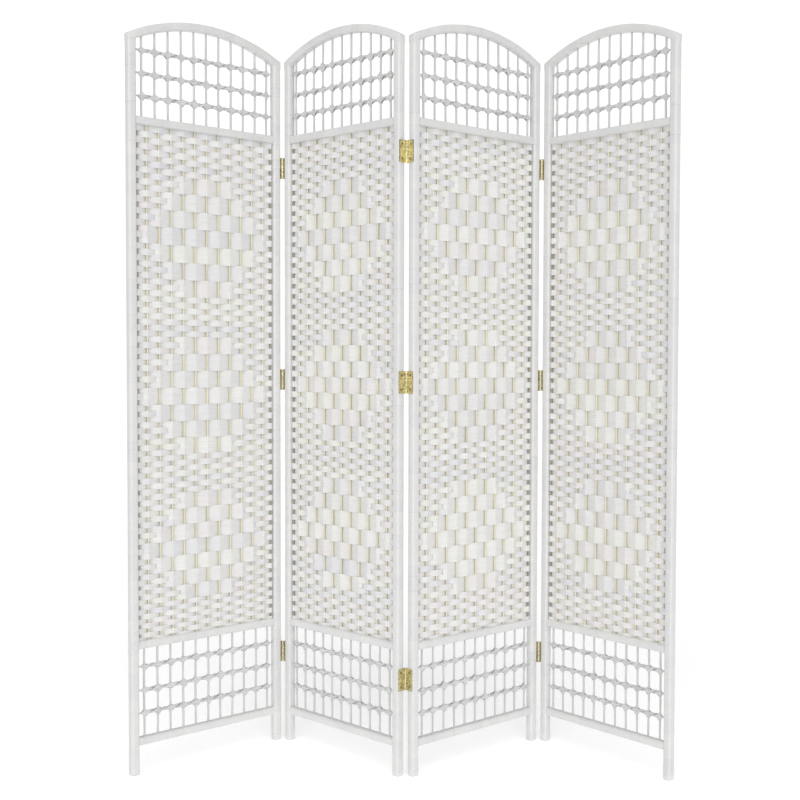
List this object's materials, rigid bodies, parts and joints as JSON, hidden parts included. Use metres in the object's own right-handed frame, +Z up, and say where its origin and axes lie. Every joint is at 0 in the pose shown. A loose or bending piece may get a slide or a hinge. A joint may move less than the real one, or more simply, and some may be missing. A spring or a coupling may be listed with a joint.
{
  "type": "folding room divider screen",
  "caption": "Free-standing folding screen: arched wound-frame panels with lattice ends and a diamond-woven paper-fibre field, joined by brass butt hinges.",
  "frame": {"origin": "floor level, at the bottom centre of the box round the screen in its resting zig-zag", "axes": "+Z up, along the screen's height; +X along the line of the screen, towards panel 4; +Y to the back, the screen's smallest extent as it stands"},
  "size_m": [1.221, 0.3028, 1.7],
  "materials": {
    "wound_frame": "matt white paper ribbon wound on wood",
    "white_stick": "matt white",
    "natural_stick": "bare peeled wood",
    "woven_paper": "matt twisted paper ribbon, slight sheen",
    "paper_ribbon": "matt twisted paper ribbon",
    "nail_steel": "bright wire",
    "hinge_brass": "pressed and plated",
    "screw_brass": "plated"
  },
  "bodies": {
    "panel_1": {"panel_1_left_post": "wound_frame", "panel_1_right_post": "wound_frame", "panel_1_arch": "wound_frame", "panel_1_top_rail": "wound_frame", "panel_1_lower_rail": "wound_frame", "panel_1_bottom_rail": "wound_frame", "panel_1_lattice_sticks": "white_stick", "panel_1_weave_sticks": "natural_stick", "panel_1_weave": "woven_paper", "panel_1_lattice_rows": "paper_ribbon", "panel_1_rail_nails": "nail_steel", "fold_1_left_leaves": "hinge_brass", "fold_1_pins": "hinge_brass", "fold_1_left_screws": "screw_brass"},
    "panel_2": {"panel_2_left_post": "wound_frame", "panel_2_right_post": "wound_frame", "panel_2_arch": "wound_frame", "panel_2_top_rail": "wound_frame", "panel_2_lower_rail": "wound_frame", "panel_2_bottom_rail": "wound_frame", "panel_2_lattice_sticks": "white_stick", "panel_2_weave_sticks": "natural_stick", "panel_2_weave": "woven_paper", "panel_2_lattice_rows": "paper_ribbon", "panel_2_rail_nails": "nail_steel", "fold_1_right_leaves": "hinge_brass", "fold_1_right_screws": "screw_brass", "fold_2_left_leaves": "hinge_brass", "fold_2_pins": "hinge_brass", "fold_2_left_screws": "screw_brass"},
    "panel_3": {"panel_3_left_post": "wound_frame", "panel_3_right_post": "wound_frame", "panel_3_arch": "wound_frame", "panel_3_top_rail": "wound_frame", "panel_3_lower_rail": "wound_frame", "panel_3_bottom_rail": "wound_frame", "panel_3_lattice_sticks": "white_stick", "panel_3_weave_sticks": "natural_stick", "panel_3_weave": "woven_paper", "panel_3_lattice_rows": "paper_ribbon", "panel_3_rail_nails": "nail_steel", "fold_2_right_leaves": "hinge_brass", "fold_2_right_screws": "screw_brass", "fold_3_left_leaves": "hinge_brass", "fold_3_pins": "hinge_brass", "fold_3_left_screws": "screw_brass"},
    "panel_4": {"panel_4_left_post": "wound_frame", "panel_4_right_post": "wound_frame", "panel_4_arch": "wound_frame", "panel_4_top_rail": "wound_frame", "panel_4_lower_rail": "wound_frame", "panel_4_bottom_rail": "wound_frame", "panel_4_lattice_sticks": "white_stick", "panel_4_weave_sticks": "natural_stick", "panel_4_weave": "woven_paper", "panel_4_lattice_rows": "paper_ribbon", "panel_4_rail_nails": "nail_steel", "fold_3_right_leaves": "hinge_brass", "fold_3_right_screws": "screw_brass"}
  },
  "joints": [
    {"name": "fold_1", "type": "hinge", "parent": "panel_2", "child": "panel_1", "pos_m": [-0.30877, 0.1266, 0.885], "axis": [0, 0, 1], "range_deg": [-86.2, 93.8]},
    {"name": "fold_2", "type": "hinge", "parent": "panel_2", "child": "panel_3", "pos_m": [0.0092, -0.12457, 0.885], "axis": [0, 0, 1], "range_deg": [-85.8, 94.2]},
    {"name": "fold_3", "type": "hinge", "parent": "panel_3", "child": "panel_4", "pos_m": [0.3182, 0.13754, 0.885], "axis": [0, 0, -1], "range_deg": [-90.2, 89.8]}
  ]
}
